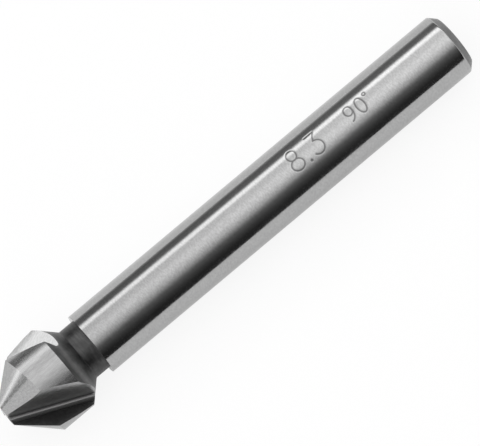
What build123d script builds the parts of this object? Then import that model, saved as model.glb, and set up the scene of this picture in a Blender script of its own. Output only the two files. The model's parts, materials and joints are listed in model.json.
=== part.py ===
from build123d import *
import math
import os

# One-piece countersink bit with three skewed flutes, right-hand cutting. Millimetres.
# The tool is made on its own axis: Z runs from the tip to the shank end, and angles run round Z.
# It is then laid down as it comes to rest, flute down, with its tip towards -X.

# Lengths along the axis, from the tip
OVERALL_LENGTH = 50.0
BACK_CHAMFER_START = 6.33
SHOULDER_POSITION = 9.42
SHANK_CHAMFER = 0.65

# Diameters of the turned blank
TIP_DIAMETER = 2.5
HEAD_DIAMETER = 8.3
NECK_DIAMETER = 5.0
SHANK_DIAMETER = 6.0

# Small radii of the blank
NECK_ROOT_RADIUS = 0.22
SHANK_EDGE_RADIUS = 0.2

# Teeth: the cutting edge leads, and the cone behind it falls away
TOOTH_COUNT = 3
INCLUDED_ANGLE = 90.0
BACK_CHAMFER_ANGLE = 45.0
FIRST_EDGE_ANGLE = -60.0
GRINDING_STOCK = 0.1
RELIEF_OFFSET = 0.5
RELIEF_OFFSET_LAG = 60.0
RELIEF_LEAD = 15.0

# Flute: a straight V groove that runs out sideways as it goes back. Its outline is drawn across the
# axis at the tip, ahead of the second tooth, as (towards 0 degrees, towards 90 degrees).
GROOVE_APEX = (-0.273, 0.370)
GROOVE_BOTTOM_RADIUS = 0.5
RAKE_FACE_DIRECTION = 39.8
GROOVE_ANGLE = 57.2
GROOVE_REACH = 8.0
FLAT_BACK_WALL_LENGTH = 3.33
ROLLED_BACK_WALL_RADIUS = 5.6
ROLLED_BACK_WALL_TURN = 30.0
GROOVE_RUN_OUT = (-0.0135, 0.4377, 1.0)
GROOVE_START = -1.0
GROOVE_END = 8.6

# Which way is down, round the axis, when the tool lies on two corners beside a flute
DOWN_ANGLE = 164.0
REAR_CORNER_ANGLE = 144.0

TIP_RADIUS = TIP_DIAMETER / 2
HEAD_RADIUS = HEAD_DIAMETER / 2
NECK_RADIUS = NECK_DIAMETER / 2
SHANK_RADIUS = SHANK_DIAMETER / 2
TOOTH_PITCH = 360.0 / TOOTH_COUNT
CONE_SLOPE = math.tan(math.radians(INCLUDED_ANGLE / 2))
CONE_LENGTH = (HEAD_RADIUS - TIP_RADIUS) / CONE_SLOPE
BACK_CHAMFER_LENGTH = (HEAD_RADIUS - NECK_RADIUS) / math.tan(math.radians(BACK_CHAMFER_ANGLE))
SHANK_CHAMFER_START = OVERALL_LENGTH - SHANK_CHAMFER
SHANK_RIM = SHANK_CHAMFER_START - SHANK_EDGE_RADIUS * math.tan(math.radians(45.0 / 2))


def round_the_axis(radius, angle, z=0.0):
    """Point at a radius and an angle round the tool's axis, at a distance from the tip."""
    turn = math.radians(angle)
    return Vector(radius * math.cos(turn), radius * math.sin(turn), z)


def turned_blank():
    """Blank as it leaves the lathe: cone, land, back chamfer, neck, shoulder and shank."""
    neck_start = BACK_CHAMFER_START + BACK_CHAMFER_LENGTH
    end_radius = SHANK_RADIUS - SHANK_CHAMFER
    outline = Polyline(
        (0, 0),
        (TIP_RADIUS + GRINDING_STOCK, 0),
        (HEAD_RADIUS, CONE_LENGTH - GRINDING_STOCK / CONE_SLOPE),
        (HEAD_RADIUS, BACK_CHAMFER_START),
        (NECK_RADIUS, neck_start),
        (NECK_RADIUS, SHOULDER_POSITION),
        (SHANK_RADIUS, SHOULDER_POSITION),
        (SHANK_RADIUS, SHANK_CHAMFER_START),
        (end_radius, OVERALL_LENGTH),
        (0, OVERALL_LENGTH),
        close=True,
    )
    section = make_face(Plane.XZ * outline)
    neck_root = section.vertices().sort_by_distance((NECK_RADIUS, 0, neck_start))[0]
    section = fillet(neck_root, NECK_ROOT_RADIUS)
    for edge_radius, edge_position in ((SHANK_RADIUS, SHANK_CHAMFER_START), (end_radius, OVERALL_LENGTH)):
        edge = section.vertices().sort_by_distance((edge_radius, 0, edge_position))[0]
        section = fillet(edge, SHANK_EDGE_RADIUS)
    return revolve(section, Axis.Z)


def relief_cut():
    """What the grinder takes off the cone behind the first edge: all that lies outside a cone
    whose axis is parallel to the tool's, but set off from it, within one tooth's sector."""
    start = GROOVE_START
    depth = CONE_LENGTH + 2 * RELIEF_OFFSET - start
    sector_start = FIRST_EDGE_ANGLE - RELIEF_LEAD
    sector = Rot(0, 0, sector_start) * Cylinder(
        2 * HEAD_RADIUS, depth, arc_size=TOOTH_PITCH, align=(Align.NONE, Align.NONE, Align.MIN)
    )
    offset = round_the_axis(RELIEF_OFFSET, FIRST_EDGE_ANGLE - RELIEF_OFFSET_LAG)
    edge_at_tip = round_the_axis(TIP_RADIUS, FIRST_EDGE_ANGLE)
    ground_tip = -(edge_at_tip - offset).length / CONE_SLOPE
    ground_height = start + depth - ground_tip
    ground_cone = Cone(
        0, ground_height * CONE_SLOPE, ground_height, align=(Align.CENTER, Align.CENTER, Align.MIN)
    )
    return Pos(0, 0, start) * sector - Pos(offset.X, offset.Y, ground_tip) * ground_cone


def flute_cut():
    """V groove with a rounded bottom and a back wall that rolls over towards its rim, extruded
    along the skewed line on which it runs out."""
    apex = Vector(*GROOVE_APEX)
    back_direction = round_the_axis(1.0, RAKE_FACE_DIRECTION - GROOVE_ANGLE)
    rake_face = Line(apex, apex + round_the_axis(GROOVE_REACH, RAKE_FACE_DIRECTION))
    back_wall = Line(apex, apex + back_direction * FLAT_BACK_WALL_LENGTH)
    rolled_wall = JernArc(back_wall @ 1, back_direction, ROLLED_BACK_WALL_RADIUS, -ROLLED_BACK_WALL_TURN)
    opening = Line(rolled_wall @ 1, rake_face @ 1)
    section = make_face([rake_face, back_wall, rolled_wall, opening])
    bottom = section.vertices().sort_by_distance(apex)[0]
    section = fillet(bottom, GROOVE_BOTTOM_RADIUS)
    run_out = Vector(*GROOVE_RUN_OUT)
    length = (GROOVE_END - GROOVE_START) * run_out.length
    return extrude(Pos(run_out * GROOVE_START) * section, amount=length, dir=run_out)


def ground_tool():
    """Blank with a relieved tooth and a flute for each pitch round the axis."""
    tool = turned_blank()
    for tooth in range(TOOTH_COUNT):
        turn = Rot(0, 0, tooth * TOOTH_PITCH)
        tool = tool - turn * relief_cut() - turn * flute_cut()
    return tool


def rest_plane(tool):
    """Plane that the tool lies on, seen from below the tool: it holds the corner of the cone and
    the rear corner of the land on either side of the lower flute, and the rim of the shank end."""
    edge_corner = round_the_axis(HEAD_RADIUS, 180.0, CONE_LENGTH)
    rear_corner = round_the_axis(HEAD_RADIUS, REAR_CORNER_ANGLE, BACK_CHAMFER_START)
    corners = [
        Vector(*tool.vertices().sort_by_distance(corner)[0])
        for corner in (edge_corner, rear_corner)
    ]
    rim = round_the_axis(SHANK_RADIUS, DOWN_ANGLE, SHANK_RIM)
    up = (corners[1] - corners[0]).cross(rim - corners[0])
    if up.dot(round_the_axis(1.0, DOWN_ANGLE)) > 0:
        up = -up
    along = Vector(0, 0, 1)
    along = along - up.normalized() * along.dot(up.normalized())
    return Plane(origin=rim, x_dir=along, z_dir=up)


def laid_down(tool):
    """Tool resting on the plane Z = 0, with the origin under the middle of its box."""
    tool = rest_plane(tool).to_local_coords(tool)
    box = tool.bounding_box()
    return Pos(-box.center().X, -box.center().Y, -box.min.Z) * tool


os.makedirs("parts", exist_ok=True)
countersink = laid_down(ground_tool())
export_step(countersink, "parts/countersink.step")
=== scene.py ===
import json
import math
import bmesh
import bpy
import mathutils
import numpy as np
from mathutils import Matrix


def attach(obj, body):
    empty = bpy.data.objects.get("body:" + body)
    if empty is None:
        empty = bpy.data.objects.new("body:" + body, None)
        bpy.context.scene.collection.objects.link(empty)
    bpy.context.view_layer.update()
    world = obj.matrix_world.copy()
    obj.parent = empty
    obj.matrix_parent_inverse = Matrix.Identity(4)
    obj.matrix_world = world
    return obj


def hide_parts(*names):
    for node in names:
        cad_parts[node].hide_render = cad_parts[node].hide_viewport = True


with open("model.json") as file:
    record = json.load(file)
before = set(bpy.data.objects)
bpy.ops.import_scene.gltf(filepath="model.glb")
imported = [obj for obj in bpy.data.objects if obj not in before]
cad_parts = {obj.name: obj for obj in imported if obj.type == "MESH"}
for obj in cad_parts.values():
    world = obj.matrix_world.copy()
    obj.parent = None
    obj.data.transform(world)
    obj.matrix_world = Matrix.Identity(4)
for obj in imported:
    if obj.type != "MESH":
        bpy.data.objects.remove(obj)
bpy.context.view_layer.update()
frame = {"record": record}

# Countersink bit: one bar of tool steel, turned to a head, a neck and a shank, hardened and blackened, and
# then ground, the shank in a cylindrical grinder and the three relieved teeth and skewed flutes with wheels.
# Sizes are millimetres along the tool's own axis Z, from the tip, and angles run round that axis.
MM = 0.001
OVERALL_LENGTH = 50.0
TIP_RADIUS = 1.25
HEAD_RADIUS = 4.15
NECK_RADIUS = 2.5
SHANK_RADIUS = 3.0
BACK_CHAMFER_START = 6.33
SHOULDER_POSITION = 9.42
SHANK_CHAMFER = 0.65
NECK_ROOT_RADIUS = 0.22
SHANK_EDGE_RADIUS = 0.2

TOOTH_COUNT = 3
TOOTH_PITCH = math.tau / TOOTH_COUNT
EDGE_ANGLE = math.radians(60.0)
RELIEF_OFFSET = 0.5
RELIEF_CONE_RADIUS = math.sqrt(
    (TIP_RADIUS * math.cos(EDGE_ANGLE) - RELIEF_OFFSET) ** 2 + (TIP_RADIUS * math.sin(EDGE_ANGLE)) ** 2
)

GROOVE_APEX = np.array([-0.273, 0.370])
GROOVE_RUN_OUT = np.array([-0.0135, 0.4377])
GROOVE_BOTTOM_RADIUS = 0.28
GROOVE_ANGLE = math.radians(57.2)
RAKE_DIRECTION = math.radians(39.8)
WALL_DIRECTION = RAKE_DIRECTION - GROOVE_ANGLE
WALL_ROLL_RADIUS = 5.6
FILLET_REACH = GROOVE_BOTTOM_RADIUS / math.tan(GROOVE_ANGLE / 2)
FILLET_LENGTH = GROOVE_BOTTOM_RADIUS * (math.pi - GROOVE_ANGLE)
FLAT_WALL_LENGTH = 3.33 - FILLET_REACH

CONE_ROWS = 28
LAND_ROWS = 22
RUN_OUT_ROWS = 16
TOOTH_COLUMNS = 90
WALL_COLUMNS = 26
FILLET_COLUMNS = 18
RAKE_COLUMNS = 12
GROOVE_COLUMNS = WALL_COLUMNS + FILLET_COLUMNS + RAKE_COLUMNS
WALL_CROWDING = 0.7
RAKE_CROWDING = 1.4


def heading(angle):
    """Unit vector at an angle in the plane across the axis."""
    return np.stack([np.cos(angle), np.sin(angle)], axis=-1)


def groove_point(place, z):
    """Point of the groove. place is the distance along its outline from where the back wall meets the
    rounded bottom: minus on the back wall, which is straight and then an arc, plus on the bottom's arc and
    then on the straight rake face. The outline slides sideways by the run-out for each millimetre of z."""
    place = place[..., None]
    wall = GROOVE_APEX + (FILLET_REACH - place) * heading(WALL_DIRECTION)
    roll_start = GROOVE_APEX + (FILLET_REACH + FLAT_WALL_LENGTH) * heading(WALL_DIRECTION)
    roll_centre = roll_start + WALL_ROLL_RADIUS * heading(WALL_DIRECTION - math.pi / 2)
    roll_turn = WALL_DIRECTION + math.pi / 2 + (place + FLAT_WALL_LENGTH) / WALL_ROLL_RADIUS
    roll = roll_centre + WALL_ROLL_RADIUS * heading(roll_turn[..., 0])
    middle = GROOVE_APEX + GROOVE_BOTTOM_RADIUS / math.sin(GROOVE_ANGLE / 2) * heading(
        RAKE_DIRECTION - GROOVE_ANGLE / 2
    )
    bottom_turn = WALL_DIRECTION - math.pi / 2 - place / GROOVE_BOTTOM_RADIUS
    bottom = middle + GROOVE_BOTTOM_RADIUS * heading(bottom_turn[..., 0])
    rake = GROOVE_APEX + (FILLET_REACH + place - FILLET_LENGTH) * heading(RAKE_DIRECTION)
    outline = np.where(place < FILLET_LENGTH, bottom, rake)
    outline = np.where(place < 0, wall, outline)
    outline = np.where(place < -FLAT_WALL_LENGTH, roll, outline)
    return outline + z[..., None] * GROOVE_RUN_OUT


def tooth_radius(lag, z):
    """Radius of a tooth's outside: the least of the land, the back chamfer and the relief cone. The cone's
    axis is set off towards the angle 0, and lag is the angle from there."""
    cone = RELIEF_CONE_RADIUS + z
    relieved = RELIEF_OFFSET * np.cos(lag) + np.sqrt(cone**2 - (RELIEF_OFFSET * np.sin(lag)) ** 2)
    return np.minimum(np.minimum(relieved, HEAD_RADIUS), HEAD_RADIUS + BACK_CHAMFER_START - z)


def crease_level(lag):
    """Height where the relief cone reaches the land: the triangle of the two axes and the land's radius,
    solved for the cone's radius, and from that for z."""
    return (
        np.sqrt(HEAD_RADIUS**2 + RELIEF_OFFSET**2 - 2 * HEAD_RADIUS * RELIEF_OFFSET * np.cos(lag))
        - RELIEF_CONE_RADIUS
    )


HALVINGS = 48


def groove_rim(z, inner, outer, turn):
    """Place and angle where the groove comes out of a tooth at each z, found by halving the stretch between
    a place in the metal and one outside it. turn is how far round the axis that tooth's relief is set."""
    inner, outer = np.broadcast_to(inner, z.shape), np.broadcast_to(outer, z.shape)
    for _ in range(HALVINGS):
        place = (inner + outer) / 2
        point = groove_point(place, z)
        angle = np.arctan2(point[..., 1], point[..., 0])
        buried = np.hypot(point[..., 0], point[..., 1]) < tooth_radius(angle + turn, z)
        inner, outer = np.where(buried, place, inner), np.where(buried, outer, place)
    return place, angle


def deepest_place(z):
    """Place on the groove nearest the axis: the foot of the square line from the axis to the back wall, or
    the edge of the rounded bottom where that foot would lie past it."""
    start = groove_point(np.zeros_like(z), z)
    return np.minimum(start @ heading(WALL_DIRECTION), 0.0)


# Places on the groove's outline that lie well outside the tool, on the back wall's side and the rake face's.
WALL_OUTER = -8.0
RAKE_OUTER = 8.0


def behind(z):
    """Rim between the back wall and the tooth behind the groove."""
    return groove_rim(z, deepest_place(z), WALL_OUTER, TOOTH_PITCH)


def ahead(z):
    """Rim between the rake face and the tooth ahead of the groove: its cutting edge."""
    return groove_rim(z, deepest_place(z), RAKE_OUTER, 0.0)


# The height of a crease's end follows from its angle, and its angle from its height, so both are found by
# turns, from the length of the cone without relief.
CREASE_ROUNDS = 30
rear_crease = front_crease = np.array([HEAD_RADIUS - TIP_RADIUS])
for _ in range(CREASE_ROUNDS):
    rear_crease = crease_level(behind(rear_crease)[1] + TOOTH_PITCH)
    front_crease = crease_level(ahead(front_crease)[1])

# The back wall leaves the chamfer where its distance from the axis, which grows evenly, reaches the radius.
wall_normal = heading(WALL_DIRECTION + math.pi / 2)
wall_distance = GROOVE_APEX @ wall_normal
wall_retreat = GROOVE_RUN_OUT @ wall_normal
RUN_OUT_END = (HEAD_RADIUS + BACK_CHAMFER_START - wall_distance) / (1 + wall_retreat)

rise = np.linspace(0, 1, CONE_ROWS + 1)
climb = np.linspace(0, 1, LAND_ROWS + 1)[1:]
ebb = 1 - (1 - np.linspace(0, 1, RUN_OUT_ROWS + 1)[1:]) ** 2


def levels(crease):
    """Heights of one rim's points: evenly up the cone, evenly along the land, and closer and closer together
    towards the end of the run-out."""
    land = crease + (BACK_CHAMFER_START - crease) * climb
    run_out = BACK_CHAMFER_START + (RUN_OUT_END - BACK_CHAMFER_START) * ebb
    return np.concatenate([crease * rise, land, run_out])


rear_z, front_z = levels(rear_crease), levels(front_crease)
rear_place, rear_angle = behind(rear_z)
front_place, front_angle = ahead(front_z)
rear_place[-1] = front_place[-1] = deepest_place(rear_z[-1:])[0]
rear_angle[-1] = front_angle[-1] = math.atan2(*groove_point(rear_place[-1:], rear_z[-1:])[0, ::-1])


def blend_rows(start, end, share):
    """Even steps from start to end along each row."""
    return start[:, None] + (end - start)[:, None] * share[None, :]


def tooth_grid():
    """Outside of one tooth, from its cutting edge back to the next groove. Each row runs evenly in angle,
    and rises by what the crease rises, in proportion to how near the row is to it. The radius is the
    tooth's own."""
    share = np.linspace(0, 1, TOOTH_COLUMNS + 1)
    angle = blend_rows(front_angle, rear_angle + TOOTH_PITCH, share)
    z = blend_rows(front_z, rear_z, share)
    near = np.concatenate([rise, 1 - climb, 0 * ebb])[:, None]
    crease = crease_level(angle)
    z = z + near * (crease - blend_rows(crease[:, 0], crease[:, -1], share))
    radius = tooth_radius(angle, z)
    return np.dstack([radius * np.cos(angle), radius * np.sin(angle), z])


def groove_grid():
    """One groove, from the tooth behind it to the tooth ahead. Each row follows the outline: the back wall,
    the rounded bottom, the rake face. Its height goes evenly from one rim's to the other's."""
    wall_end = np.minimum(front_place, 0.0)
    bottom_end = np.minimum(front_place, FILLET_LENGTH)
    down_wall = np.linspace(0, 1, WALL_COLUMNS + 1) ** WALL_CROWDING
    round_bottom = np.linspace(0, 1, FILLET_COLUMNS + 1)[1:]
    up_rake = np.linspace(0, 1, RAKE_COLUMNS + 1)[1:] ** RAKE_CROWDING
    place = np.hstack([
        blend_rows(rear_place, wall_end, down_wall),
        blend_rows(wall_end, bottom_end, round_bottom),
        blend_rows(bottom_end, front_place, up_rake),
    ])
    width = np.maximum(front_place - rear_place, 1e-9)
    share = (place - rear_place[:, None]) / width[:, None]
    z = rear_z[:, None] + (front_z - rear_z)[:, None] * share
    return np.dstack([groove_point(place, z), z])


def turned(points, angle):
    """The same points, turned round the axis."""
    cos, sin = math.cos(angle), math.sin(angle)
    return points @ np.array([[cos, sin, 0], [-sin, cos, 0], [0, 0, 1]])


pitch_grid = np.hstack([groove_grid()[:, :-1], tooth_grid()[:, :-1]])
head = np.hstack([turned(pitch_grid, tooth * TOOTH_PITCH) for tooth in range(TOOTH_COUNT)])


def arc(centre_z, centre_r, radius, start, end, steps):
    """Points (z, r) along an arc, from one angle to another, where 0 degrees looks along the axis."""
    turn = np.radians(np.linspace(start, end, steps + 1))
    return np.stack([centre_z + radius * np.cos(turn), centre_r + radius * np.sin(turn)], axis=1)


def run(start, end, steps):
    """Points (z, r) at even steps between two points, with a guard point close to either end."""
    share = np.concatenate([[0, 0.02], np.linspace(0, 1, steps + 1)[1:-1], [0.98, 1]])
    return np.array(start) + share[:, None] * (np.array(end) - np.array(start))


# Size numerals, marked on the shank by laser: a shallow dark line of even width, along arcs and straight
# strokes. They read towards the shank's end: the head's diameter, and then the cone's full angle with its
# degree ring. Glyphs are drawn in numeral heights.
NUMERAL_ANGLE = math.radians(-17.0)
DIAMETER_NUMERAL_START = 31.95
DIAMETER_NUMERAL_HEIGHT = 2.05
ANGLE_NUMERAL_START = 38.3
ANGLE_NUMERAL_HEIGHT = 1.45
NUMERAL_MARGIN = 0.25
NUMERAL_BAND_HALF_WIDTH = 2.0
NUMERAL_ROW_STEP = 0.06
STROKE_STEPS = 40
STROKE_HALF_WIDTH = 0.07
STROKE_DEPTH = 0.012
STROKE_FOOT = 1.5


def stroke(centre, radii, start, end):
    """Points along an oval arc. Its degrees count from the reading direction towards the numeral's top."""
    turn = np.radians(np.linspace(start, end, STROKE_STEPS))
    return np.stack([centre[0] + radii[0] * np.cos(turn), centre[1] + radii[1] * np.sin(turn)], axis=1)


EIGHT = [stroke((0.29, 0.75), (0.22, 0.25), 0, 360), stroke((0.29, 0.26), (0.29, 0.26), 0, 360)]
THREE = [
    np.array([(0.02, 1.0), (0.46, 1.0), (0.22, 0.63)]),
    stroke((0.22, 0.315), (0.31, 0.315), 90, -140),
]
NINE = [stroke((0.27, 0.70), (0.26, 0.30), 0, 360), stroke((0.02, 0.62), (0.51, 0.62), 8, -75)]
NOUGHT = [stroke((0.27, 0.50), (0.27, 0.50), 0, 360)]
POINT = [stroke((0.04, 0.03), (0.03, 0.03), 0, 360)]
DEGREE = [stroke((0.10, 0.92), (0.10, 0.10), 0, 360)]


def written(start, height, glyphs):
    """Strokes of a row of glyphs on the unrolled shank, in millimetres: along the axis, and round towards
    the numerals' tops. Each glyph comes with how far along it starts, in numeral heights."""
    return [
        np.array([start, -height / 2]) + height * (line + np.array([offset, 0]))
        for glyph, offset in glyphs
        for line in glyph
    ]


diameter_numeral = written(
    DIAMETER_NUMERAL_START, DIAMETER_NUMERAL_HEIGHT, [(EIGHT, 0.0), (POINT, 0.80), (THREE, 1.15)]
)
angle_numeral = written(
    ANGLE_NUMERAL_START, ANGLE_NUMERAL_HEIGHT, [(NINE, 0.0), (NOUGHT, 0.82), (DEGREE, 1.55)]
)


def numeral_rows(strokes):
    """Where along the shank a numeral needs close rows of mesh."""
    along = np.concatenate(strokes)[:, 0]
    low, high = along.min() - NUMERAL_MARGIN, along.max() + NUMERAL_MARGIN
    return np.linspace(low, high, round((high - low) / NUMERAL_ROW_STEP))


def shank_grid():
    """Chamfer behind the grooves, neck, shoulder, shank and end chamfer: a profile turned round the axis,
    from the ring where the grooves end. Its columns go on from those of the teeth."""
    root = math.tan(math.pi / 8)
    chamfer_foot = BACK_CHAMFER_START + HEAD_RADIUS - NECK_RADIUS
    root_start = chamfer_foot - NECK_ROOT_RADIUS * root * math.sqrt(0.5)
    root_end = chamfer_foot + NECK_ROOT_RADIUS * root
    end_radius = SHANK_RADIUS - SHANK_CHAMFER
    rim = OVERALL_LENGTH - SHANK_CHAMFER
    edge = SHANK_EDGE_RADIUS * root
    numerals = np.concatenate([numeral_rows(diameter_numeral), numeral_rows(angle_numeral)])
    profile = np.concatenate([
        run((RUN_OUT_END, HEAD_RADIUS + BACK_CHAMFER_START - RUN_OUT_END),
            (root_start, HEAD_RADIUS + BACK_CHAMFER_START - root_start), 6),
        arc(root_end, NECK_RADIUS + NECK_ROOT_RADIUS, NECK_ROOT_RADIUS, -135, -90, 6)[1:],
        run((root_end, NECK_RADIUS), (SHOULDER_POSITION, NECK_RADIUS), 6)[1:],
        run((SHOULDER_POSITION, NECK_RADIUS), (SHOULDER_POSITION, SHANK_RADIUS), 3)[1:],
        run((SHOULDER_POSITION, SHANK_RADIUS), (numerals[0] - 0.1, SHANK_RADIUS), 12)[1:],
        np.stack([numerals, np.full_like(numerals, SHANK_RADIUS)], axis=1),
        run((numerals[-1] + 0.1, SHANK_RADIUS), (rim - edge, SHANK_RADIUS), 6),
        arc(rim - edge, SHANK_RADIUS - SHANK_EDGE_RADIUS, SHANK_EDGE_RADIUS, 90, 45, 5)[1:],
        run((rim + edge * math.sqrt(0.5), SHANK_RADIUS - edge * math.sqrt(0.5)),
            (OVERALL_LENGTH - edge * math.sqrt(0.5), end_radius + edge * math.sqrt(0.5)), 3)[1:],
        arc(OVERALL_LENGTH - SHANK_EDGE_RADIUS, end_radius - edge, SHANK_EDGE_RADIUS, 45, 0, 5)[1:],
    ])
    columns = np.arange(TOOTH_COLUMNS * TOOTH_COUNT) * TOOTH_PITCH / TOOTH_COLUMNS
    angle = front_angle[-1] + columns
    z, radius = profile[:, :1], profile[:, 1:]
    return np.dstack([radius * np.cos(angle), radius * np.sin(angle), z + 0 * angle])


shank = shank_grid()


def ring_quads(first, rows, columns):
    """Quads between the rows of closed rings of points, facing outwards when the rings go up the axis."""
    row, column = np.meshgrid(np.arange(rows - 1), np.arange(columns), indexing="ij")
    here = row * columns + column
    after = row * columns + (column + 1) % columns
    return first + np.stack([here, after, after + columns, here + columns], axis=-1)


head_quads = ring_quads(0, *head.shape[:2])
shank_quads = ring_quads(head.shape[0] * head.shape[1], *shank.shape[:2])
points = np.concatenate([head.reshape(-1, 3), shank.reshape(-1, 3)])
tip_cap = np.arange(head.shape[1])[::-1]
end_cap = len(points) - shank.shape[1] + np.arange(shank.shape[1])


def distance_to_strokes(strokes):
    """Distance in millimetres from each point of the shank's outside to the nearest stroke of the numerals,
    on the shank unrolled about their middle line: the least of the distances to the strokes' short pieces.
    Past the numerals' margin it stays at that margin."""
    along = points[:, 2]
    turn = NUMERAL_ANGLE - np.arctan2(points[:, 1], points[:, 0])
    around = SHANK_RADIUS * ((turn + math.pi) % math.tau - math.pi)
    lines = np.concatenate([np.hstack([line[:-1], line[1:]]) for line in strokes])
    low, high = lines.min(axis=0), lines.max(axis=0)
    near = (along > low[0] - NUMERAL_MARGIN) & (along < high[0] + NUMERAL_MARGIN)
    near &= abs(around) < NUMERAL_BAND_HALF_WIDTH
    spot = np.stack([along[near], around[near]], axis=1)[:, None]
    start, way = lines[None, :, :2], lines[None, :, 2:] - lines[None, :, :2]
    share = np.clip(((spot - start) * way).sum(-1) / (way**2).sum(-1), 0, 1)
    distance = np.full(len(points), NUMERAL_MARGIN)
    gap = np.linalg.norm(spot - start - share[..., None] * way, axis=-1).min(axis=1)
    distance[near] = np.minimum(gap, NUMERAL_MARGIN)
    return distance


# A stroke is at its full depth over its inner half, and its sides slope up to the surface past its width.
mark_distance = np.minimum(distance_to_strokes(diameter_numeral), distance_to_strokes(angle_numeral))
sunk = STROKE_DEPTH * np.clip(STROKE_FOOT - mark_distance / STROKE_HALF_WIDTH, 0, 1)
inward = 1 - sunk / np.hypot(points[:, 0], points[:, 1])
tool_points = points * np.stack([inward, inward, np.ones_like(inward)], axis=1)

# The tool lies on a flute: on the front corner of one tooth and the rear corner of the next, at one height,
# and on the rim of the shank's end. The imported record's shank mount gives the axis.
mount = next(mount for mount in frame["record"]["mounts"] if mount["name"] == "shank")
axis = np.array(mount["axis"]) / np.linalg.norm(mount["axis"])
slope = axis[2] / math.hypot(axis[0], axis[1])
crease_row, land_row = CONE_ROWS, CONE_ROWS + LAND_ROWS
front_corner = front_angle[crease_row] + TOOTH_PITCH
rear_corner = rear_angle[land_row] + TOOTH_PITCH
corner_lift = slope * (front_z[crease_row] - rear_z[land_row]) / HEAD_RADIUS
half_spread = (front_corner - rear_corner) / 2
down_angle = (front_corner + rear_corner) / 2 + math.asin(corner_lift / (2 * math.sin(half_spread)))

down = np.array([0.0, 0.0, -1.0]) + axis[2] * axis
down /= np.linalg.norm(down)
side = np.cross(axis, down)
tool_x = math.cos(down_angle) * down - math.sin(down_angle) * side
tool_y = math.sin(down_angle) * down + math.cos(down_angle) * side
shank_rim = OVERALL_LENGTH - SHANK_CHAMFER - SHANK_EDGE_RADIUS * math.tan(math.pi / 8)
tip = np.array(mount["pos_m"]) / MM - axis * (SHOULDER_POSITION + shank_rim) / 2
placed = tip + tool_points @ np.stack([tool_x, tool_y, axis])

mesh = bpy.data.meshes.new("countersink_bit")
quads = np.concatenate([head_quads.reshape(-1, 4), shank_quads.reshape(-1, 4)])
mesh.from_pydata(placed * MM, [], quads.tolist() + [tip_cap.tolist(), end_cap.tolist()])
mesh.attributes.new("tool_mm", "FLOAT_VECTOR", "POINT").data.foreach_set("vector", points.ravel())
mesh.attributes.new("mark_mm", "FLOAT", "POINT").data.foreach_set("value", mark_distance)

# Each ground or turned face has its own finish. The shank is ground as far as its rounded end edge.
GRINDING_END = 49.4
SHANK_SLOT, CONE_SLOT, LAND_SLOT, WALL_SLOT, BOTTOM_SLOT, RAKE_SLOT, NECK_SLOT, END_SLOT = range(8)
head_slots = np.full(head_quads.shape[:2], CONE_SLOT)
head_slots[crease_row:] = LAND_SLOT
head_slots[land_row:] = NECK_SLOT
pitch_column = np.arange(head.shape[1]) % (GROOVE_COLUMNS + TOOTH_COLUMNS)
head_slots[:, pitch_column < GROOVE_COLUMNS] = RAKE_SLOT
head_slots[:, pitch_column < WALL_COLUMNS + FILLET_COLUMNS] = BOTTOM_SLOT
head_slots[:, pitch_column < WALL_COLUMNS] = WALL_SLOT
ring_z = shank[:-1, 0, 2]
ring_slots = np.where(ring_z < SHOULDER_POSITION, NECK_SLOT, SHANK_SLOT)
ring_slots[ring_z >= GRINDING_END] = END_SLOT
shank_slots = ring_slots[:, None] + np.zeros(shank.shape[1], int)
slots = np.concatenate([head_slots.ravel(), shank_slots.ravel(), [CONE_SLOT, END_SLOT]])
mesh.polygons.foreach_set("material_index", slots)
mesh.polygons.foreach_set("use_smooth", np.ones(len(slots), bool))

# The rims' double points are welded, and edges that turn by more than a stroke's sides do stay crisp.
WELD_DISTANCE = 0.0001 * MM
SHARP_ANGLE = math.radians(24.0)
weld = bmesh.new()
weld.from_mesh(mesh)
bmesh.ops.remove_doubles(weld, verts=weld.verts, dist=WELD_DISTANCE)
weld.to_mesh(mesh)
weld.free()
mesh.set_sharp_from_angle(angle=SHARP_ANGLE)
mesh.validate()

countersink = bpy.data.objects.new("countersink_bit", mesh)
bpy.context.scene.collection.objects.link(countersink)
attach(countersink, "root")
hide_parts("countersink")


def linear(hex_colour):
    """sRGB hex colour as linear red, green, blue and alpha."""
    parts = [int(hex_colour[i:i + 2], 16) / 255 for i in (0, 2, 4)]
    return [part / 12.92 if part <= 0.04045 else ((part + 0.055) / 1.055) ** 2.4 for part in parts] + [1.0]


def add_node(tree, kind, inputs=None, **settings):
    """Adds a node with its settings. inputs gives each socket its value, or the socket it is linked to."""
    node = tree.nodes.new(kind)
    for name, value in settings.items():
        setattr(node, name, value)
    for name, value in (inputs or {}).items():
        if isinstance(value, bpy.types.NodeSocket):
            tree.links.new(value, node.inputs[name])
        else:
            node.inputs[name].default_value = value
    return node


def metal(name):
    """New material with its node tree, its metal shader and the place on the tool in millimetres."""
    material = bpy.data.materials.new(name)
    material.use_nodes = True
    tree = material.node_tree
    shader = tree.nodes["Principled BSDF"]
    shader.inputs["Metallic"].default_value = 1.0
    place = add_node(tree, "ShaderNodeAttribute", attribute_name="tool_mm").outputs["Vector"]
    return material, tree, shader, place


def tool_marks(tree, place, squeeze, spacing, detail=3.0):
    """Lines or patches that a tool leaves, from 0 to 1: noise on the place on the tool. spacing is the
    distance between marks in millimetres, and squeeze shrinks the place, so that marks grow long where it
    is small. Noise keeps near its middle, so its values from 0.3 to 0.7 fill the range."""
    drawn = add_node(tree, "ShaderNodeVectorMath", {0: place, 1: squeeze}, operation="MULTIPLY").outputs[0]
    noise = add_node(tree, "ShaderNodeTexNoise", {"Vector": drawn, "Scale": 1 / spacing, "Detail": detail})
    return add_node(tree, "ShaderNodeMapRange", {
        "Value": noise.outputs["Fac"], "From Min": 0.3, "From Max": 0.7,
    }).outputs["Result"]


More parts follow.
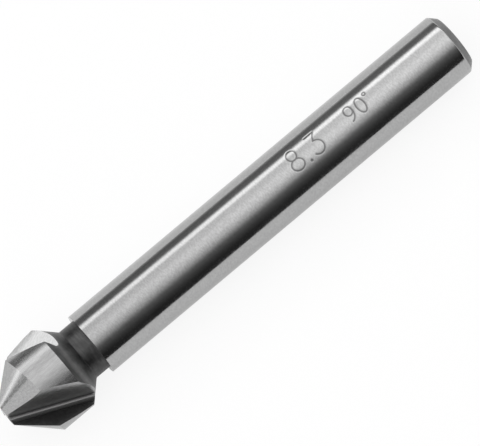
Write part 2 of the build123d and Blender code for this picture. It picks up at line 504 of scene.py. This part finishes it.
def marked_steel(name, squeeze, spacing, tones, roughness, detail=3.0):
    """Steel whose tool marks run between two tones, and between two values of roughness."""
    material, tree, shader, place = metal(name)
    marks = tool_marks(tree, place, squeeze, spacing, detail)
    tone = add_node(tree, "ShaderNodeMix", {
        0: marks, 6: linear(tones[0]), 7: linear(tones[1]),
    }, data_type="RGBA").outputs[2]
    rough = add_node(tree, "ShaderNodeMapRange", {
        "Value": marks, "To Min": roughness[0], "To Max": roughness[1],
    }).outputs["Result"]
    tree.links.new(tone, shader.inputs["Base Color"])
    tree.links.new(rough, shader.inputs["Roughness"])
    return material


# Cylindrically ground tool steel: bright grey metal with a fine lay round the axis and faint clouds, which
# draws clear bands of light along the shank. The real lay is a few hundredths of a millimetre wide, so it is
# drawn coarse enough to show. The laser leaves a dark burn along the numerals.
LAY_DEPTH = 0.0008
BURN_SHARE = 0.65
shank_steel, tree, shader, place = metal("ground_tool_steel")
lay = tool_marks(tree, place, squeeze=(0.55, 0.55, 1.0), spacing=0.14)
clouds = tool_marks(tree, place, squeeze=(1.0, 1.0, 0.5), spacing=1.1)
tone = add_node(tree, "ShaderNodeMix", {
    0: lay, 6: linear("A3A3A3"), 7: linear("B1B1B1"),
}, data_type="RGBA").outputs[2]
from_stroke = add_node(tree, "ShaderNodeAttribute", attribute_name="mark_mm").outputs["Fac"]
burn = add_node(tree, "ShaderNodeMapRange", {
    "Value": from_stroke, "From Min": 0.6 * STROKE_HALF_WIDTH, "From Max": 1.3 * STROKE_HALF_WIDTH,
    "To Min": BURN_SHARE, "To Max": 0.0,
}).outputs["Result"]
tone = add_node(tree, "ShaderNodeMix", {
    0: burn, 6: tone, 7: linear("303030"),
}, data_type="RGBA").outputs[2]
rough = add_node(tree, "ShaderNodeMapRange", {
    "Value": clouds, "To Min": 0.10, "To Max": 0.15,
}).outputs["Result"]
bump = add_node(tree, "ShaderNodeBump", {
    "Height": lay, "Strength": 0.25, "Distance": LAY_DEPTH * MM,
}).outputs["Normal"]
tree.links.new(tone, shader.inputs["Base Color"])
tree.links.new(rough, shader.inputs["Roughness"])
tree.links.new(bump, shader.inputs["Normal"])

# Cone of the teeth: relief-ground with a finer wheel, so its bands of light stay clear.
cone_steel = marked_steel(
    "relief_ground_steel", squeeze=(1.0, 1.0, 0.25), spacing=0.2, tones=("A4A4A4", "B0B0B0"),
    roughness=(0.12, 0.17),
)

# Lands: they keep short marks along the tool, which soften what they mirror.
land_steel = marked_steel(
    "ground_land_steel", squeeze=(1.0, 1.0, 0.25), spacing=0.2, tones=("A4A4A4", "B0B0B0"),
    roughness=(0.21, 0.27),
)

# Back walls of the flutes: the rim of the wheel travels along the groove and leaves its lines, so they are
# softer and a little mottled.
wall_steel = marked_steel(
    "ground_flute_steel", squeeze=(1.0, 1.0, 0.35), spacing=0.16, tones=("9E9E9E", "BABABA"),
    roughness=(0.28, 0.36), detail=4.0,
)

# Bottoms of the flutes: the worn corner of the wheel leaves a duller line, whose darker grey is painted
# shade.
bottom_steel_painted_shade, tree, shader, place = metal("dull_flute_bottom_painted_shade")
shader.inputs["Base Color"].default_value = linear("868686")
shader.inputs["Roughness"].default_value = 0.3

# Rake faces: the flat side of the wheel leaves them fine and mirror-like, and they show the dark back wall.
# Their grey, darker than that of the other ground faces, is painted shade inside the flute.
rake_steel_painted_shade, tree, shader, place = metal("fine_ground_rake_painted_shade")
shader.inputs["Base Color"].default_value = linear("747474")
shader.inputs["Roughness"].default_value = 0.1

# Blackened turned steel: the neck and the back chamfer keep the dark oxide of hardening over the lathe's
# rings, patchy and half matt. Handling has worn one pale ring on the chamfer, whose place and half width are
# millimetres from the tip.
WORN_RING_POSITION = 7.02
WORN_RING_HALF_WIDTH = 0.4
WORN_SHARE = 0.6
neck_steel, tree, shader, place = metal("blackened_turned_steel")
rings = tool_marks(tree, place, squeeze=(0.2, 0.2, 1.0), spacing=0.25)
patches = tool_marks(tree, place, squeeze=(1.0, 1.0, 0.8), spacing=0.9)
tone = add_node(tree, "ShaderNodeMix", {
    0: patches, 6: linear("484848"), 7: linear("5E5E5E"),
}, data_type="RGBA").outputs[2]
ring_share = add_node(tree, "ShaderNodeMath", {0: rings, 1: 0.5}, operation="MULTIPLY").outputs[0]
tone = add_node(tree, "ShaderNodeMix", {
    0: ring_share, 6: tone, 7: linear("303030"),
}, data_type="RGBA").outputs[2]
along = add_node(tree, "ShaderNodeSeparateXYZ", {0: place}).outputs["Z"]
away = add_node(tree, "ShaderNodeMath", {0: along, 1: WORN_RING_POSITION}, operation="SUBTRACT").outputs[0]
away = add_node(tree, "ShaderNodeMath", {0: away}, operation="ABSOLUTE").outputs[0]
worn = add_node(tree, "ShaderNodeMapRange", {
    "Value": away, "From Min": 0.0, "From Max": WORN_RING_HALF_WIDTH, "To Min": WORN_SHARE, "To Max": 0.0,
}).outputs["Result"]
patchy = add_node(tree, "ShaderNodeMapRange", {
    "Value": patches, "To Min": 0.5, "To Max": 1.1,
}).outputs["Result"]
worn = add_node(tree, "ShaderNodeMath", {0: worn, 1: patchy}, operation="MULTIPLY").outputs[0]
tone = add_node(tree, "ShaderNodeMix", {
    0: worn, 6: tone, 7: linear("8A8A8A"),
}, data_type="RGBA").outputs[2]
rough = add_node(tree, "ShaderNodeMapRange", {
    "Value": patches, "To Min": 0.34, "To Max": 0.44,
}).outputs["Result"]
tree.links.new(tone, shader.inputs["Base Color"])
tree.links.new(rough, shader.inputs["Roughness"])

# Shank's end: turned before hardening and not ground, so it keeps a thin grey oxide over the lathe's rings.
end_steel, tree, shader, place = metal("turned_end_steel")
rings = tool_marks(tree, place, squeeze=(0.2, 0.2, 1.0), spacing=0.25)
tone = add_node(tree, "ShaderNodeMix", {
    0: rings, 6: linear("6C6C6C"), 7: linear("7C7C7C"),
}, data_type="RGBA").outputs[2]
tree.links.new(tone, shader.inputs["Base Color"])
shader.inputs["Roughness"].default_value = 0.35

finishes = [shank_steel, cone_steel, land_steel, wall_steel, bottom_steel_painted_shade, rake_steel_painted_shade, neck_steel, end_steel]
for finish in finishes:
    mesh.materials.append(finish)

# Floor: a plain white studio table of matt paper. What the camera sees of it is lifted to white, and so is
# what the metal mirrors of it, which needs less. Both keep the tool's shadow.
FLOOR_HALF_WIDTH = 1.5
SEEN_LIFT = 0.87
MIRRORED_LIFT = 0.3
floor_corners = FLOOR_HALF_WIDTH * np.array([(-1, -1, 0), (1, -1, 0), (1, 1, 0), (-1, 1, 0)])
floor_mesh = bpy.data.meshes.new("floor")
floor_mesh.from_pydata(floor_corners.tolist(), [], [(0, 1, 2, 3)])
floor = bpy.data.objects.new("floor", floor_mesh)
bpy.context.scene.collection.objects.link(floor)

paper = bpy.data.materials.new("white_table")
paper.use_nodes = True
tree = paper.node_tree
shader = tree.nodes["Principled BSDF"]
shader.inputs["Base Color"].default_value = linear("F8F8F8")
shader.inputs["Roughness"].default_value = 1.0
shader.inputs["Specular IOR Level"].default_value = 0.0
path = add_node(tree, "ShaderNodeLightPath")
mirrored = add_node(tree, "ShaderNodeMath", {
    0: path.outputs["Is Glossy Ray"], 1: path.outputs["Is Transmission Ray"],
}, operation="MAXIMUM").outputs[0]
lift = add_node(tree, "ShaderNodeMath", {0: mirrored, 1: MIRRORED_LIFT}, operation="MULTIPLY").outputs[0]
lift = add_node(tree, "ShaderNodeMath", {
    0: path.outputs["Is Camera Ray"], 1: SEEN_LIFT, 2: lift,
}, operation="MULTIPLY_ADD").outputs[0]
white = add_node(tree, "ShaderNodeEmission", {"Color": (1, 1, 1, 1), "Strength": 1.0}).outputs[0]
both = add_node(tree, "ShaderNodeMixShader", {0: lift, 1: shader.outputs[0], 2: white}).outputs[0]
tree.links.new(both, tree.nodes["Material Output"].inputs["Surface"])
floor_mesh.materials.append(paper)

# Studio: white cloth is stretched over the table in a long tunnel and lit from outside, with a strip light
# behind it. Dark cloths hang between the strip, the overhead part and the table, for the bands that a ground
# bar needs, and a plain white room lies beyond. Places along the tunnel are metres from its middle.
TUNNEL_RADIUS = 1.0
TUNNEL_HALF_LENGTH = 5.0
TUNNEL_STEPS = 60
turns = np.radians(np.linspace(-90, 90, TUNNEL_STEPS + 1))
places = np.linspace(-TUNNEL_HALF_LENGTH, TUNNEL_HALF_LENGTH, TUNNEL_STEPS + 1)
tunnel_points = np.stack(np.broadcast_arrays(
    places[:, None], TUNNEL_RADIUS * np.sin(turns), TUNNEL_RADIUS * np.cos(turns),
), axis=-1)
row, column = np.meshgrid(np.arange(TUNNEL_STEPS), np.arange(TUNNEL_STEPS), indexing="ij")
corner_index = row * (TUNNEL_STEPS + 1) + column
tunnel_quads = corner_index[..., None] + np.array([0, TUNNEL_STEPS + 1, TUNNEL_STEPS + 2, 1])
tunnel_mesh = bpy.data.meshes.new("cloth_tunnel")
tunnel_mesh.from_pydata(tunnel_points.reshape(-1, 3).tolist(), [], tunnel_quads.reshape(-1, 4).tolist())
tunnel = bpy.data.objects.new("cloth_tunnel", tunnel_mesh)
tunnel.visible_camera = False
bpy.context.scene.collection.objects.link(tunnel)

# Brightness of the two cloths by degrees round the tunnel, from the zenith, and how each brightens along it.
# The overhead one gives way to the tip end's, and towards the shank's end the cloth is one even white.
BRIGHTEST = 3.2
OVERHEAD_LEVELS = [
    (-90, 0.03), (-70, 0.03), (-56, 0.07), (-42, 0.15), (-35, 0.27), (-29, 0.48), (-16, 0.85), (-3, 1.15),
    (10, 1.22), (24, 1.03), (38, 1.0), (42.5, 1.6), (45.5, 1.85), (52, 1.85), (57.5, 0.7), (61.5, 0.2),
    (80, 0.16), (87, 0.4), (90, 0.9),
]
OVERHEAD_RISE = {"From Min": 0.05, "From Max": 0.16, "To Min": 0.93, "To Max": 1.3}
TIP_END_LEVELS = [
    (-90, 0.8), (-30, 1.0), (10, 1.1), (25, 1.0), (40, 0.9), (52, 0.38), (77, 0.38), (83, 1.6), (86, 2.8),
    (90, 2.8),
]
TIP_END_RISE = {"From Min": -1.2, "From Max": -0.5, "To Min": 1.0, "To Max": 1.6}
TO_TIP_END = {"From Min": -0.12, "From Max": -0.32}
SHANK_END_LEVEL = 0.85
TO_SHANK_END = {"From Min": 1.3, "From Max": 3.0}

cloth = bpy.data.materials.new("lit_cloth")
cloth.use_nodes = True
tree = cloth.node_tree
tree.nodes.remove(tree.nodes["Principled BSDF"])
spot = add_node(tree, "ShaderNodeTexCoord").outputs["Object"]
spot = add_node(tree, "ShaderNodeSeparateXYZ", {0: spot})
along = spot.outputs["X"]
turn = add_node(tree, "ShaderNodeMath", {
    0: spot.outputs["Y"], 1: spot.outputs["Z"],
}, operation="ARCTAN2").outputs[0]
around = add_node(tree, "ShaderNodeMapRange", {
    "Value": turn, "From Min": -math.pi / 2, "From Max": math.pi / 2,
}).outputs["Result"]
glows = []
for stop_levels, cloth_rise in ((OVERHEAD_LEVELS, OVERHEAD_RISE), (TIP_END_LEVELS, TIP_END_RISE)):
    ramp = add_node(tree, "ShaderNodeValToRGB", {"Fac": around})
    stops = ramp.color_ramp.elements
    for index, (degrees, level) in enumerate(stop_levels):
        stop = stops[index] if index < len(stops) else stops.new(1.0)
        stop.position = (degrees + 90) / 180
        stop.color = [level / BRIGHTEST] * 3 + [1.0]
    scale = add_node(tree, "ShaderNodeMapRange", {"Value": along, **cloth_rise}).outputs["Result"]
    glows.append(add_node(tree, "ShaderNodeVectorMath", {
        0: ramp.outputs["Color"], "Scale": scale,
    }, operation="SCALE").outputs[0])
to_tip = add_node(tree, "ShaderNodeMapRange", {"Value": along, **TO_TIP_END}).outputs["Result"]
glow = add_node(tree, "ShaderNodeMix", {0: to_tip, 6: glows[0], 7: glows[1]}, data_type="RGBA").outputs[2]
to_shank = add_node(tree, "ShaderNodeMapRange", {"Value": along, **TO_SHANK_END}).outputs["Result"]
glow = add_node(tree, "ShaderNodeMix", {
    0: to_shank, 6: glow, 7: [SHANK_END_LEVEL / BRIGHTEST] * 3 + [1.0],
}, data_type="RGBA").outputs[2]
light = add_node(tree, "ShaderNodeEmission", {"Color": glow, "Strength": BRIGHTEST}).outputs[0]
tree.links.new(light, tree.nodes["Material Output"].inputs["Surface"])
tunnel_mesh.materials.append(cloth)

world = bpy.data.worlds.new("white_room")
bpy.context.scene.world = world
world.use_nodes = True
world.node_tree.nodes["Background"].inputs["Color"].default_value = (1, 1, 1, 1)
world.node_tree.nodes["Background"].inputs["Strength"].default_value = 1.0

# Camera: a long lens, so that the tool's sides stay nearly parallel, aimed at a spot given in millimetres
# along the axis and below it. The tool's axis runs up to the right.
IMAGE_WIDTH = 480
PIXELS_PER_MM = 11.75
FOCAL_PIXELS = 7500.0
TURN_IN_PICTURE = math.radians(39.93)
TILT_TO_TIP = math.radians(5.5)
AIM_ALONG_AXIS = 25.82
AIM_BELOW_AXIS = 0.238
back = math.cos(TILT_TO_TIP) * tool_x - math.sin(TILT_TO_TIP) * axis
along = math.cos(TILT_TO_TIP) * axis + math.sin(TILT_TO_TIP) * tool_x
right = math.cos(TURN_IN_PICTURE) * along + math.sin(TURN_IN_PICTURE) * tool_y
up = math.sin(TURN_IN_PICTURE) * along - math.cos(TURN_IN_PICTURE) * tool_y
aim = tip + AIM_ALONG_AXIS * axis + AIM_BELOW_AXIS * tool_y
eye = aim + FOCAL_PIXELS / PIXELS_PER_MM * back
camera_data = bpy.data.cameras.new("camera")
camera_data.sensor_width = 36.0
camera_data.lens = camera_data.sensor_width * FOCAL_PIXELS / IMAGE_WIDTH
camera_data.clip_start = 0.01
camera_data.clip_end = 10.0
camera = bpy.data.objects.new("camera", camera_data)
bpy.context.scene.collection.objects.link(camera)
pose = np.eye(4)
pose[:3, 0], pose[:3, 1], pose[:3, 2], pose[:3, 3] = right, up, back, eye * MM
camera.matrix_world = mathutils.Matrix(pose.tolist())
bpy.context.scene.camera = camera
bpy.context.scene.view_settings.view_transform = "Standard"
